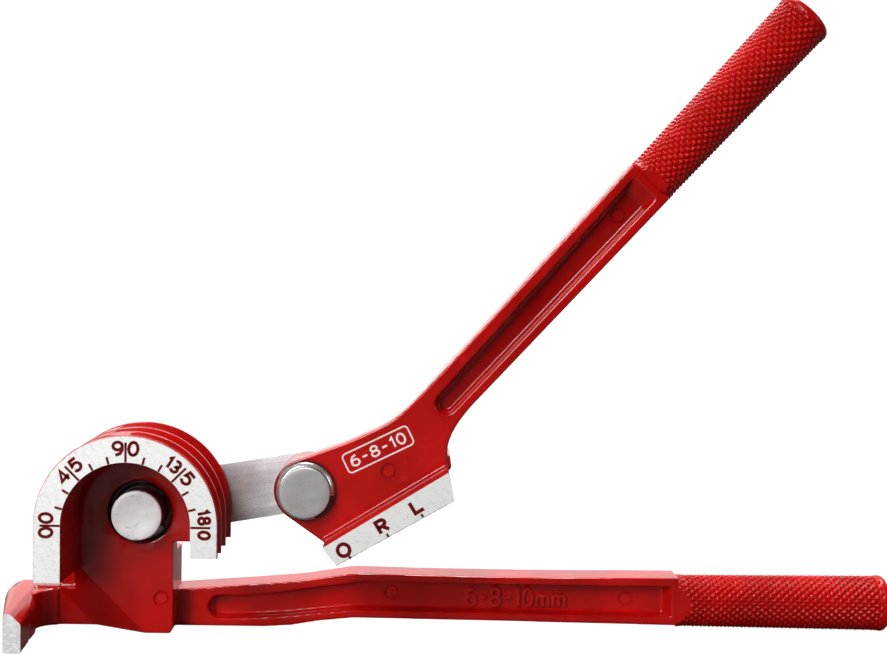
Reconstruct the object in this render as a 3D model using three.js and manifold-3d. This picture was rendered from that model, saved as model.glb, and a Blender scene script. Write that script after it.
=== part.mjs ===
import * as THREE from 'three';
import { mergeVertices } from 'three/addons/utils/BufferGeometryUtils.js';
import Module from 'manifold-3d';

// Millimetres. The shapes are drawn about the former pivot: X to the right, Z up and Y from the
// front face of the scale ring to the rear. The whole is then moved so that the floor is at Z = 0.
const FLOOR = 34.8;
const ORIGIN_Y = 32;

// Former
const RIM_R = 24.6;
const FACE_R = 24;
const FACE_INNER_R = 17.3;
const POCKET_R = 16.5;
const RIM_EDGE = 0.6;
const TUBES = [
  { r: 3.1, y: 4.1 },
  { r: 4.1, y: 12.3 },
  { r: 5.1, y: 22.5 },
];
const FORMER_DEPTH = 28.4;
const LEG_LEFT = -15.5;
const LEG_RIGHT = -8.4;
const WEB_FRONT = 20.5;
const WEB_REAR = 27.6;
const RECESS_R = 8.9;
const RECESS_FLOOR = 23.1;

// Hook and arm
const HOOK_FACE_X = -27.6;
const ARM_FRONT = 28.4;
const ARM_REAR = 36;
const ARM_TOP = -23.5;
const SLOPE_START = 20.5;
const SLOPE_RUN = 11;

// Lower handle
const LOW_FRONT = 29;
const LOW_REAR = 39.4;
const LOW_WEB = [32.7, 35.7];
const LOW_CHANNEL_END = 153;
const LOW_GRIP_Z = -26.65;
const LOW_GRIP_Y = 34.2;
const LOW_GRIP = { start: 153, near: 158.5, far: 214.5, end: 217.3, rNear: 7.65, rFar: 8.15 };

// Upper casting
const LINK_LENGTH = 47.7;
const LINK_ANGLE = 10;
const SHOE_PIN = [47, 8.25];
const PLATE_FRONT = 12;
const PLATE_REAR = 18;
const UP_REAR = 22;
const UP_WEB = [15.6, 18.4];
const SHOE_REAR = 28.3;
const BOSS_R = 8.8;
const HANDLE_FOOT = [86.5, 35.1];
const HANDLE_ANGLE = 48;
const UP_CHANNEL_END = 78;
const UP_GRIP_Y = 17;
const UP_GRIP = { start: 79, near: 84.5, far: 141.6, end: 144.3, rNear: 7.25, rFar: 8.05 };
const STRIP = [
  [56.5, -9.7],
  [87.7, 8.4],
  [86, 15.9],
  [52.6, -5.1],
];
const SHOE_BACK = [
  [53, -6.5],
  [87.3, 15],
  [86.8, 18.6],
  [47.5, -1.5],
];

// Pins, rings, washers and strap
const PIN_R = 7;
const PIN_HOLE_R = 7.2;
const SHANK_R = 5;
const SHANK_HOLE_R = 5.25;
const RING_GROOVE_R = 6;
const RING_R = 8;
const RING_T = 1.2;
const FORMER_RING_GAP = [-35, 40];
const SHOE_RING_GAP = [-70, -8];
const WASHER_Y = [27.9, 28.6];
const WASHER_R = 8.6;
const STRAP_Y = [28.9, 31.9];
const STRAP_R = 8.5;
const HEAD_Y = [32.2, 33.6];

const ROUND = 48;

const wasm = await Module();
wasm.setup();

function toSolid(geometry) {
  const g = geometry.clone();
  g.deleteAttribute('normal');
  g.deleteAttribute('uv');
  const m = mergeVertices(g, 1e-4);
  const mesh = new wasm.Mesh({
    numProp: 3,
    vertProperties: new Float32Array(m.attributes.position.array),
    triVerts: new Uint32Array(m.index.array),
  });
  return new wasm.Manifold(mesh);
}

function toGeometry(solid) {
  const mesh = solid.getMesh();
  const g = new THREE.BufferGeometry();
  g.setAttribute('position', new THREE.BufferAttribute(new Float32Array(mesh.vertProperties), 3));
  g.setIndex(new THREE.BufferAttribute(new Uint32Array(mesh.triVerts), 1));
  return g;
}

function union(list) {
  return list.reduce((a, b) => a.add(b));
}

function cut(solid, list) {
  return list.reduce((a, b) => a.subtract(b), solid);
}

// An outline in X and Z, from depth y0 to depth y1.
function prism(outline, y0, y1, segments = 12) {
  const shape = outline instanceof THREE.Shape ? outline : new THREE.Shape(
    outline.map(([x, z]) => new THREE.Vector2(x, z)),
  );
  const g = new THREE.ExtrudeGeometry(shape, {
    depth: y1 - y0,
    bevelEnabled: false,
    curveSegments: segments,
  });
  g.rotateX(Math.PI / 2);
  g.translate(0, y1, 0);
  return toSolid(g);
}

// A solid of revolution about the Y direction through (x, z).
function turned(profile, x, z, segments = ROUND) {
  const points = profile.map(([r, y]) => new THREE.Vector2(r, y));
  const g = new THREE.LatheGeometry(points, segments);
  g.translate(x, 0, z);
  return toSolid(g);
}

function disc(x, z, r, y0, y1, segments = ROUND) {
  return turned([[0, y0], [r, y0], [r, y1], [0, y1]], x, z, segments);
}

// Two outlines with the same number of points, joined into one closed body.
function loft(front, yFront, rear, yRear) {
  const n = front.length;
  const position = [];
  for (const [x, z] of front) {
    position.push(x, yFront, z);
  }
  for (const [x, z] of rear) {
    position.push(x, yRear, z);
  }
  const index = [];
  for (let i = 0; i < n; i += 1) {
    const j = (i + 1) % n;
    index.push(i, n + j, j);
    index.push(i, n + i, n + j);
  }
  for (let i = 1; i < n - 1; i += 1) {
    index.push(0, i, i + 1);
    index.push(n, n + i + 1, n + i);
  }
  const g = new THREE.BufferGeometry();
  g.setAttribute('position', new THREE.Float32BufferAttribute(position, 3));
  g.setIndex(index);
  return toSolid(g);
}

// Half-round groove walls, from the front rim to the rear rim, as radius and depth.
function formerProfile() {
  const points = [
    [FACE_INNER_R, 0],
    [FACE_R, 0],
    [RIM_R, RIM_EDGE],
  ];
  for (const tube of TUBES) {
    for (let k = 0; k <= 8; k += 1) {
      const a = (Math.PI * k) / 8;
      points.push([RIM_R - tube.r * Math.sin(a), tube.y - tube.r * Math.cos(a)]);
    }
  }
  points.push([RIM_R, FORMER_DEPTH]);
  points.push([POCKET_R - 1, FORMER_DEPTH]);
  points.push([POCKET_R, WEB_FRONT]);
  return points;
}

// The profile follows the left leg, the half turn and the right leg.
function formerRing() {
  const profile = formerProfile();
  const stations = [{ a: Math.PI, dz: LEG_LEFT }];
  const turns = 28;
  for (let k = 0; k <= turns; k += 1) {
    stations.push({ a: Math.PI * (1 - k / turns), dz: 0 });
  }
  stations.push({ a: 0, dz: LEG_RIGHT });
  const n = profile.length;
  const position = [];
  for (const s of stations) {
    for (const [r, y] of profile) {
      position.push(r * Math.cos(s.a), y, r * Math.sin(s.a) + s.dz);
    }
  }
  const index = [];
  for (let s = 0; s < stations.length - 1; s += 1) {
    for (let i = 0; i < n; i += 1) {
      const j = (i + 1) % n;
      const a = s * n + i;
      const b = s * n + j;
      index.push(a, a + n, b + n);
      index.push(a, b + n, b);
    }
  }
  const flat = profile.map(([r, y]) => new THREE.Vector2(r, y));
  const last = (stations.length - 1) * n;
  for (const [a, b, c] of THREE.ShapeUtils.triangulateShape(flat, [])) {
    index.push(a, b, c);
    index.push(last + a, last + c, last + b);
  }
  const g = new THREE.BufferGeometry();
  g.setAttribute('position', new THREE.Float32BufferAttribute(position, 3));
  g.setIndex(index);
  return toSolid(g);
}

// The floor of the scale ring, and the column down to the foot.
function formerWeb() {
  const s = new THREE.Shape();
  const r = POCKET_R + 2;
  s.moveTo(-r, LEG_LEFT + 0.5);
  s.lineTo(-r, 0);
  s.absarc(0, 0, r, Math.PI, 0, true);
  s.lineTo(r, LEG_RIGHT);
  s.lineTo(9.4, LEG_RIGHT);
  s.lineTo(9.4, -FLOOR + 2);
  s.absarc(7.4, -FLOOR + 2, 2, 0, -Math.PI / 2, true);
  s.lineTo(3.2, -FLOOR);
  s.lineTo(1.4, -FLOOR + 0.7);
  s.lineTo(-16.4, -16.6);
  s.lineTo(-16.4, LEG_LEFT + 0.5);
  s.closePath();
  return prism(s, WEB_FRONT, WEB_REAR, 24);
}

// Below the sweep of the strap the column is thick enough to join the arm and the handle.
function columnFoot() {
  const s = new THREE.Shape();
  s.moveTo(-16.4, -12);
  s.lineTo(-16.4, -16.6);
  s.lineTo(1.4, -FLOOR + 0.7);
  s.lineTo(3.2, -FLOOR);
  s.lineTo(7.4, -FLOOR);
  s.absarc(7.4, -FLOOR + 2, 2, -Math.PI / 2, 0, false);
  s.lineTo(9.4, -12);
  s.closePath();
  return prism(s, WEB_FRONT + 0.5, ARM_REAR, 8);
}

// The slope between the column and the arm.
function armSlope() {
  const body = prism([
    [9, -FLOOR],
    [-16, -10],
    [-19.2, -16],
    [-19.2, ARM_TOP],
    [-26, ARM_TOP],
    [-26, -FLOOR],
  ], SLOPE_START, ARM_REAR);
  const rise = ARM_FRONT - SLOPE_START;
  const shape = new THREE.Shape([
    new THREE.Vector2(-20, SLOPE_START),
    new THREE.Vector2(-20, -5),
    new THREE.Vector2(2 * SLOPE_RUN, -5),
    new THREE.Vector2(2 * SLOPE_RUN, ARM_FRONT),
    new THREE.Vector2(SLOPE_RUN, SLOPE_START + rise),
    new THREE.Vector2(0, SLOPE_START),
  ]);
  const g = new THREE.ExtrudeGeometry(shape, { depth: 90, bevelEnabled: false });
  g.translate(0, 0, -45);
  const h = Math.SQRT1_2;
  const across = new THREE.Vector3(-h, 0, -h);
  const deep = new THREE.Vector3(0, 1, 0);
  const along = new THREE.Vector3(h, 0, -h);
  const m = new THREE.Matrix4().makeBasis(across, deep, along);
  m.setPosition(-7.2, 0, -25.8);
  g.applyMatrix4(m);
  return body.subtract(toSolid(g));
}

function arm() {
  return prism([
    [-34, -FLOOR],
    [9, -FLOOR],
    [9, -13],
    [-17, -13],
    [-24.4, -19.5],
    [-24.4, ARM_TOP],
    [-34, ARM_TOP],
  ], ARM_FRONT, ARM_REAR);
}

// The bar is slim at its front face and widens to the left towards the rear.
function hookBar() {
  const front = [
    [-32.4, -FLOOR],
    [HOOK_FACE_X, -FLOOR],
    [HOOK_FACE_X, -26.9],
    [-30.5, -24],
    [-31.7, -24],
    [-32.2, -24.3],
    [-32.4, -24.9],
  ];
  const rear = [
    [-40, -FLOOR],
    [-29.4, -FLOOR],
    [-29.4, -26.6],
    [-31.6, ARM_TOP],
    [-36.6, ARM_TOP],
    [-39, -24.6],
    [-40, -27.2],
  ];
  const corner = prism([
    [-31.5, -FLOOR],
    [-24.6, -FLOOR],
    [-24.6, -24.2],
    [-31.5, -24.2],
  ], TUBES[2].y, ARM_FRONT + 1);
  const bar = union([loft(front, 0, rear, ARM_FRONT), prism(rear, ARM_FRONT - 0.01, ARM_REAR), corner]);
  return cut(bar, TUBES.map((t) => tubeSeat(-RIM_R, t.y, t.r)));
}

function tubeSeat(x, y, r) {
  const g = new THREE.CylinderGeometry(r, r, 60, 32);
  g.rotateX(Math.PI / 2);
  g.translate(x, y, -30);
  return toSolid(g);
}

function lowerBar() {
  return prism([
    [-2, -FLOOR],
    [34, -FLOOR],
    [42, -34.3],
    [50, -32.9],
    [60, -31.9],
    [97, -32.2],
    [155, -32.9],
    [155, -18.9],
    [111, -19.3],
    [76, -19.1],
    [60, -18.8],
    [46, -21.1],
    [33, -22.3],
    [-2, -25],
  ], LOW_FRONT, LOW_REAR);
}

// The channel on one side of the lower handle.
function lowerChannel(y0, y1) {
  const s = new THREE.Shape();
  s.moveTo(28, -32.5);
  s.lineTo(40, -31.8);
  s.lineTo(50, -30.7);
  s.lineTo(60, -29.7);
  s.lineTo(LOW_CHANNEL_END, -30.5);
  s.lineTo(LOW_CHANNEL_END, -21.4);
  s.lineTo(62, -21.2);
  s.lineTo(48, -23.2);
  s.lineTo(36, -25);
  s.lineTo(28, -25.7);
  s.absarc(21.4, -29.1, 3.4, Math.PI / 2, -Math.PI / 2, false);
  s.closePath();
  return prism(s, y0, y1, 12);
}

// A grip along +X: blunt shoulder, slight taper and a rounded end.
function grip(size) {
  const profile = [
    [0, size.start],
    [size.rNear - 2.4, size.start],
    [size.rNear - 0.9, size.near - 2.2],
    [size.rNear, size.near],
    [size.rFar, size.far],
    [size.rFar - 0.4, size.end - 1.3],
    [size.rFar - 1.3, size.end - 0.4],
    [size.rFar - 2.6, size.end],
    [0, size.end],
  ];
  const g = new THREE.LatheGeometry(profile.map(([r, x]) => new THREE.Vector2(r, x)), ROUND);
  g.rotateZ(-Math.PI / 2);
  return g;
}

function lowerHandle() {
  const gripShape = grip(LOW_GRIP);
  gripShape.translate(0, LOW_GRIP_Y, LOW_GRIP_Z);
  const bar = cut(lowerBar(), [
    lowerChannel(LOW_FRONT - 1, LOW_WEB[0]),
    lowerChannel(LOW_WEB[1], LOW_REAR + 1),
  ]);
  const body = union([
    formerRing(),
    formerWeb(),
    columnFoot(),
    armSlope(),
    arm(),
    hookBar(),
    bar,
    toSolid(gripShape),
  ]);
  return cut(body, [
    disc(0, 0, PIN_HOLE_R, WEB_FRONT - 1, WEB_REAR + 1),
    disc(0, 0, RECESS_R, WEB_FRONT - 1, RECESS_FLOOR),
  ]);
}

function unit(angle) {
  const a = THREE.MathUtils.degToRad(angle);
  return [Math.cos(a), Math.sin(a)];
}

// A point beside the axis of the upper handle: t along it, w to its left.
function beside(t, w) {
  const [c, s] = unit(HANDLE_ANGLE);
  return [HANDLE_FOOT[0] + t * c - w * s, HANDLE_FOOT[1] + t * s + w * c];
}

function shoePlate() {
  const s = new THREE.Shape();
  const [x, z] = SHOE_PIN;
  s.absarc(x, z, BOSS_R, THREE.MathUtils.degToRad(232), THREE.MathUtils.degToRad(108), true);
  s.lineTo(57.6, 21.6);
  s.lineTo(66, 25.5);
  s.quadraticCurveTo(72, 28.4, 77.5, 34.6);
  s.lineTo(...beside(6, 6.3));
  s.lineTo(...beside(6, -6.1));
  s.quadraticCurveTo(86, 26, 86, 20);
  s.lineTo(86, 13);
  s.lineTo(53.5, -7);
  s.closePath();
  return prism(s, PLATE_FRONT, PLATE_REAR, 16);
}

function upperBar() {
  return prism([
    beside(-9, -4.6),
    beside(4, -6.1),
    beside(81, -6.7),
    beside(81, 7.2),
    beside(-1, 6.2),
    beside(-12, 5.2),
  ], PLATE_FRONT, UP_REAR);
}

function upperChannel(y0, y1) {
  const s = new THREE.Shape();
  const [cx, cz] = beside(-2.2, -0.4);
  const a = THREE.MathUtils.degToRad(HANDLE_ANGLE);
  s.moveTo(...beside(UP_CHANNEL_END, -3.9));
  s.lineTo(...beside(UP_CHANNEL_END, 4.4));
  s.absarc(cx, cz, 3.2, a + Math.PI / 2, a - Math.PI / 2, false);
  s.closePath();
  return prism(s, y0, y1, 12);
}

// Seats that match the grooves of the former when the shoe is closed on a tube.
function shoeSeats() {
  const [x0, z0] = STRIP[0];
  const [x1, z1] = STRIP[1];
  const slope = Math.atan2(z1 - z0, x1 - x0);
  const gap = LINK_LENGTH - RIM_R;
  const [px, pz] = SHOE_PIN;
  const cx = px + gap * Math.sin(slope);
  const cz = pz - gap * Math.cos(slope);
  return TUBES.map((tube) => {
    const g = new THREE.CylinderGeometry(tube.r, tube.r, 160, 32);
    g.rotateZ(Math.PI / 2);
    g.rotateY(-slope);
    g.translate(cx, tube.y, cz);
    return toSolid(g);
  });
}

function upperHandle() {
  const gripShape = grip(UP_GRIP);
  gripShape.rotateY(-THREE.MathUtils.degToRad(HANDLE_ANGLE));
  gripShape.translate(HANDLE_FOOT[0], UP_GRIP_Y, HANDLE_FOOT[1]);
  const bar = cut(upperBar(), [
    upperChannel(PLATE_FRONT - 1, UP_WEB[0]),
    upperChannel(UP_WEB[1], UP_REAR + 1),
  ]);
  const plate = cut(shoePlate(), [upperChannel(PLATE_FRONT - 1, UP_WEB[0])]);
  const body = union([
    cut(plate, [upperChannel(UP_WEB[1], UP_REAR + 1)]),
    bar,
    toSolid(gripShape),
    prism(STRIP, 0, SHOE_REAR),
    prism(SHOE_BACK, PLATE_FRONT + 1, SHOE_REAR),
    disc(SHOE_PIN[0], SHOE_PIN[1], BOSS_R - 0.02, PLATE_FRONT, WEB_REAR),
  ]);
  return cut(body, [
    ...shoeSeats(),
    disc(SHOE_PIN[0], SHOE_PIN[1], PIN_HOLE_R, PLATE_FRONT - 1, WEB_REAR + 1),
  ]);
}

function linkStrap() {
  const [ux, uz] = unit(LINK_ANGLE);
  const s = new THREE.Shape();
  const a = THREE.MathUtils.degToRad(LINK_ANGLE);
  const [x, z] = SHOE_PIN;
  s.absarc(0, 0, STRAP_R, a + Math.PI / 2, a - Math.PI / 2, false);
  s.absarc(x, z, STRAP_R, a - Math.PI / 2, a + Math.PI / 2, false);
  s.closePath();
  for (const [cx, cz] of [[0, 0], SHOE_PIN]) {
    const hole = new THREE.Path();
    hole.absarc(cx, cz, SHANK_HOLE_R, 0, 2 * Math.PI, false);
    s.holes.push(hole);
  }
  return prism(s, STRAP_Y[0], STRAP_Y[1], 24);
}

// A pin with a chamfered face, a ring groove, a shoulder against the strap and a riveted head.
function pin([x, z], face, ringFront) {
  return turned([
    [0, face],
    [PIN_R - 0.3, face],
    [PIN_R, face + 0.3],
    [PIN_R, ringFront - 0.1],
    [RING_GROOVE_R, ringFront - 0.1],
    [RING_GROOVE_R, ringFront + RING_T + 0.1],
    [PIN_R, ringFront + RING_T + 0.1],
    [PIN_R, WASHER_Y[0] - 0.35],
    [SHANK_R, WASHER_Y[0] - 0.35],
    [SHANK_R, HEAD_Y[0]],
    [SHANK_R + 1.6, HEAD_Y[0]],
    [SHANK_R + 1.6, HEAD_Y[1] - 0.5],
    [SHANK_R + 0.8, HEAD_Y[1]],
    [0, HEAD_Y[1]],
  ], x, z);
}

// An open ring, sprung into the groove. The gap goes from one angle to the other, in degrees.
function splitRing([x, z], front, gap) {
  const [from, to] = gap.map(THREE.MathUtils.degToRad);
  const s = new THREE.Shape();
  s.absarc(x, z, RING_R, to, from + 2 * Math.PI, false);
  s.absarc(x, z, RING_GROOVE_R + 0.15, from + 2 * Math.PI, to, true);
  s.closePath();
  return prism(s, front, front + RING_T, ROUND);
}

function washer([x, z]) {
  const inner = SHANK_R + 0.3;
  return turned([
    [inner, WASHER_Y[0]],
    [WASHER_R, WASHER_Y[0]],
    [WASHER_R, WASHER_Y[1]],
    [inner, WASHER_Y[1]],
    [inner, WASHER_Y[0]],
  ], x, z);
}

const red = { color: 0xb01218, roughness: 0.35, metalness: 0.1 };
const steel = { color: 0xb9b9bb, roughness: 0.35, metalness: 0.9 };
const bright = { color: 0xd4d4d6, roughness: 0.3, metalness: 0.95 };
const spring = { color: 0x8e8e92, roughness: 0.4, metalness: 0.9 };

const FORMER_FACE = 15;
const FORMER_RING = 21.3;
const SHOE_FACE = 8;
const SHOE_RING = 10.4;

const group = new THREE.Group();
group.name = 'tube_bender';

function place(name, solid, look) {
  const g = toGeometry(solid);
  g.translate(0, -ORIGIN_Y, FLOOR);
  g.computeVertexNormals();
  const mesh = new THREE.Mesh(g, new THREE.MeshStandardMaterial(look));
  mesh.name = name;
  group.add(mesh);
}

place('lower_handle', lowerHandle(), red);
place('upper_handle', upperHandle(), red);
place('link_strap', linkStrap(), steel);
place('former_pin', pin([0, 0], FORMER_FACE, FORMER_RING), bright);
place('shoe_pin', pin(SHOE_PIN, SHOE_FACE, SHOE_RING), bright);
place('former_pin_ring', splitRing([0, 0], FORMER_RING, FORMER_RING_GAP), spring);
place('shoe_pin_ring', splitRing(SHOE_PIN, SHOE_RING, SHOE_RING_GAP), spring);
place('former_washer', washer([0, 0]), steel);
place('shoe_washer', washer(SHOE_PIN), steel);

export default group;
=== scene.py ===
import math

import bmesh
import bpy
from mathutils import Matrix, Vector


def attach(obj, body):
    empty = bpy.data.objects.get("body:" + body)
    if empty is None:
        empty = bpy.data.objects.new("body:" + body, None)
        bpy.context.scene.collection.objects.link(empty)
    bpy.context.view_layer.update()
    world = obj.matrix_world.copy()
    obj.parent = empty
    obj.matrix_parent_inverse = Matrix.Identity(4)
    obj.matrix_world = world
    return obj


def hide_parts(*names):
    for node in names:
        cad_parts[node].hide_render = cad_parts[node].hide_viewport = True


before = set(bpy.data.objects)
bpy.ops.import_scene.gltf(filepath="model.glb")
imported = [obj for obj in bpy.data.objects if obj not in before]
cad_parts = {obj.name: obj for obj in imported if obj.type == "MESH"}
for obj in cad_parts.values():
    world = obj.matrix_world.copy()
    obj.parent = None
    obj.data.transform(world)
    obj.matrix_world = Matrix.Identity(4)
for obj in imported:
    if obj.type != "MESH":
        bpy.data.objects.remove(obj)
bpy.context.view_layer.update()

# Millimetres. Shapes are drawn about the former pivot: X to the right, Z up and Y from the front
# face of the scale ring to the rear. settle() moves a finished piece into the row frame, in metres.
FLOOR = 34.8
ORIGIN_Y = 32
FACE_PROUD = 0.6

# Former
RIM_R = 24.6
FACE_R = 24.35
FACE_INNER_R = 17.3
POCKET_R = 16.5
POCKET_FILLET = 2.2
TUBES = ((3.1, 4.1), (4.1, 12.3), (5.1, 22.5))
FORMER_DEPTH = 28.4
LEG_LEFT = -15.5
LEG_RIGHT = -8.4
WEB_FRONT = 20.5
WEB_REAR = 27.6
RECESS_R = 8.9
RECESS_FLOOR = 23.1

# Hook and arm
ARM_FRONT = 28.4
ARM_REAR = 36
ARM_TOP = -23.5
SLOPE_RUN = 11

# Lower handle
LOW_FRONT = 29
LOW_REAR = 39.4
LOW_WEB = (32.7, 35.7)
LOW_CHANNEL_END = 153.2
CHANNEL_SLOPE = 2.4
LOW_AXIS = (0, 34.2, -26.65)

# Upper casting
SHOE_PIN = (47, 8.25)
LINK_LENGTH = 47.7
LINK_ANGLE = 10
PLATE_FRONT = 12
PLATE_REAR = 18
UP_REAR = 22
UP_WEB = (15.6, 18.4)
UP_CHANNEL_END = 78.7
SHOE_REAR = 28.3
BOSS_R = 8.8
HANDLE_FOOT = (86.5, 35.1)
HANDLE_ANGLE = 48
UP_GRIP_Y = 17
STRIP = ((56.5, -9.8), (87.8, 8.3), (86.1, 16), (52.5, -5))
SHOE_BACK = ((53, -6.5), (87.3, 15), (86.8, 18.6), (47.5, -1.5))
STRIP_SLOPE = 32

# Pins, rings, washers and strap
FORMER_FACE = 15
FORMER_RING = 21.3
SHOE_FACE = 8
SHOE_RING = 10.4
PIN_R = 7
PIN_HOLE_R = 7.2
SHANK_R = 5
RING_R = 8
RING_T = 1.2
FORMER_GAP = (-35, 40)
SHOE_GAP = (-70, -8)
WASHER_Y = (27.9, 28.6)
WASHER_R = 8.6
STRAP_Y = (28.9, 31.9)
STRAP_R = 8.5
HEAD_Y = (32.2, 33.6)

VOXEL = 0.36
SOFTEN = 5
KEEP = 0.55


# ---- Shapes: a list of points and a list of faces ----

def arc(x, z, r, start, end, steps=12):
    """Points on an arc in X and Z, from one angle to another in degrees."""
    angles = [math.radians(start + (end - start) * k / steps) for k in range(steps + 1)]
    return [(x + r * math.cos(a), z + r * math.sin(a)) for a in angles]


def curve(start, middle, end, steps=8):
    """Points on a quadratic curve, without its start."""
    points = []
    for k in range(1, steps + 1):
        t = k / steps
        a, b, c = (1 - t) ** 2, 2 * t * (1 - t), t * t
        points.append(tuple(a * p + b * q + c * r for p, q, r in zip(start, middle, end)))
    return points


def loft(front, y_front, rear, y_rear):
    """Two outlines with the same number of points, joined into one closed body."""
    n = len(front)
    points = [(x, y_front, z) for x, z in front] + [(x, y_rear, z) for x, z in rear]
    faces = [list(range(n)), list(range(2 * n - 1, n - 1, -1))]
    for i in range(n):
        j = (i + 1) % n
        faces.append([i, n + i, n + j, j])
    return points, faces


def prism(outline, y_front, y_rear):
    return loft(outline, y_front, outline, y_rear)


def strip_of_rings(rings, closed_ends=True):
    """Rings of equal length, joined one to the next. A closed body if its ends are capped."""
    n = len(rings[0])
    points = [p for ring in rings for p in ring]
    faces = []
    for s in range(len(rings) - 1):
        for i in range(n):
            j = (i + 1) % n
            faces.append([s * n + i, s * n + j, (s + 1) * n + j, (s + 1) * n + i])
    if closed_ends:
        last = (len(rings) - 1) * n
        faces.append(list(range(n)))
        faces.append([last + i for i in range(n - 1, -1, -1)])
    return points, faces


def closed_loop(rings):
    """Rings joined one to the next and the last to the first."""
    points, faces = strip_of_rings(rings, closed_ends=False)
    n = len(rings[0])
    last = (len(rings) - 1) * n
    for i in range(n):
        j = (i + 1) % n
        faces.append([last + i, last + j, j, i])
    return points, faces


def turned(profile, x, z, segments=96):
    """A closed solid of revolution about the Y direction through (x, z). It starts and ends at radius 0."""
    rings = []
    for r, y in profile:
        r = max(r, 1e-4)
        turns = [2 * math.pi * k / segments for k in range(segments)]
        rings.append([(x + r * math.cos(a), y, z + r * math.sin(a)) for a in turns])
    return strip_of_rings(rings)


def hollow_turned(profile, x, z, segments=96):
    """A ring: the closed profile goes round the Y direction through (x, z)."""
    rings = []
    for k in range(segments):
        a = 2 * math.pi * k / segments
        rings.append([(x + r * math.cos(a), y, z + r * math.sin(a)) for r, y in profile])
    return closed_loop(rings)


def joined(shapes):
    points, faces = [], []
    for more_points, more_faces in shapes:
        first = len(points)
        points += more_points
        faces += [[first + i for i in face] for face in more_faces]
    return points, faces


# ---- Objects ----

def solid(shape, name="blank"):
    mesh = bpy.data.meshes.new(name)
    mesh.from_pydata([tuple(p) for p in shape[0]], [], shape[1])
    work = bmesh.new()
    work.from_mesh(mesh)
    bmesh.ops.remove_doubles(work, verts=work.verts, dist=2e-4)
    bmesh.ops.recalc_face_normals(work, faces=work.faces)
    work.to_mesh(mesh)
    work.free()
    obj = bpy.data.objects.new(name, mesh)
    bpy.context.collection.objects.link(obj)
    return obj


def applied(obj):
    """The object's modifiers become part of its mesh."""
    graph = bpy.context.evaluated_depsgraph_get()
    mesh = bpy.data.meshes.new_from_object(obj.evaluated_get(graph))
    obj.modifiers.clear()
    obj.data = mesh
    return obj


def combine(obj, shape, operation):
    tool = solid(shape, "tool")
    fit = obj.modifiers.new("fit", "BOOLEAN")
    fit.object = tool
    fit.operation = operation
    fit.solver = "MANIFOLD"
    applied(obj)
    bpy.data.objects.remove(tool)
    return obj


def carved(shape, cutters):
    """A simple shape with others cut from it, still a simple shape."""
    obj = solid(shape)
    for cutter in cutters:
        combine(obj, cutter, "DIFFERENCE")
    points = [tuple(v.co) for v in obj.data.vertices]
    faces = [list(p.vertices) for p in obj.data.polygons]
    bpy.data.objects.remove(obj)
    return points, faces


def cast(shapes, name):
    """Overlapping shapes run together into one casting with soft edges and fillets."""
    obj = solid(joined(shapes), name)
    skin = obj.modifiers.new("skin", "REMESH")
    skin.mode = "VOXEL"
    skin.voxel_size = VOXEL
    soft = obj.modifiers.new("soft", "SMOOTH")
    soft.factor = 0.5
    soft.iterations = SOFTEN
    thin = obj.modifiers.new("thin", "DECIMATE")
    thin.ratio = KEEP
    return applied(obj)


def settle(obj, crease=38):
    """Into the row frame, in metres, with smooth faces that stay sharp at real edges."""
    move = Matrix.Translation((0, -ORIGIN_Y / 1000, FLOOR / 1000)) @ Matrix.Scale(0.001, 4)
    obj.data.transform(move)
    obj.data.shade_smooth()
    obj.data.set_sharp_from_angle(angle=math.radians(crease))
    obj.data.update()
    return obj


def piece(obj, name, body, material, replaced=()):
    obj.name = name
    obj.data.name = name
    if material:
        obj.data.materials.clear()
        obj.data.materials.append(material)
    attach(obj, body)
    if replaced:
        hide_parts(*replaced)
    return obj


# ---- Node trees ----

class Socket:
    """An output of a node. Arithmetic on it adds Math nodes to its tree."""

    def __init__(self, tree, output):
        self.tree = tree
        self.output = output

    def math(self, operation, *values):
        return self.tree.node("ShaderNodeMath", {"operation": operation}, values)

    def __add__(self, other):
        return self.math("ADD", self, other)

    def __sub__(self, other):
        return self.math("SUBTRACT", self, other)

    def __rsub__(self, other):
        return self.math("SUBTRACT", other, self)

    def __mul__(self, other):
        return self.math("MULTIPLY", self, other)

    def __truediv__(self, other):
        return self.math("DIVIDE", self, other)

    def __pow__(self, other):
        return self.math("POWER", self, other)

    def __lt__(self, other):
        return self.math("LESS_THAN", self, other)

    def __gt__(self, other):
        return self.math("GREATER_THAN", self, other)

    __radd__ = __add__
    __rmul__ = __mul__


class Tree:
    """A node tree with one way to add any node."""

    def __init__(self, group):
        self.group = group

    def node(self, kind, settings=None, values=(), output=0):
        made = self.group.nodes.new(kind)
        for name, value in (settings or {}).items():
            if name == "stops":
                self.set_stops(made.color_ramp, value)
            else:
                setattr(made, name, value)
        pairs = values.items() if isinstance(values, dict) else enumerate(values)
        for key, value in pairs:
            self.feed(made.inputs[key], value)
        return Socket(self, made.outputs[output])

    def feed(self, socket, value):
        if isinstance(value, Socket):
            self.group.links.new(value.output, socket)
        else:
            socket.default_value = value

    def set_stops(self, ramp, stops):
        while len(ramp.elements) < len(stops):
            ramp.elements.new(0.5)
        for element, (place, shade) in zip(ramp.elements, stops):
            element.position = place
            element.color = (shade, shade, shade, 1)

    def blend(self, factor, first, second):
        """Two colours mixed."""
        values = {0: factor, 6: first, 7: second}
        return self.node("ShaderNodeMix", {"data_type": "RGBA"}, values, 2)

    def between(self, value, low, high):
        """0 below low, 1 above high, and a smooth step from one to the other."""
        settings = {"interpolation_type": "SMOOTHSTEP"}
        return self.node("ShaderNodeMapRange", settings, {0: value, 1: low, 2: high})

    def vector(self, operation, *values, output=0):
        return self.node("ShaderNodeVectorMath", {"operation": operation}, values, output)


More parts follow.
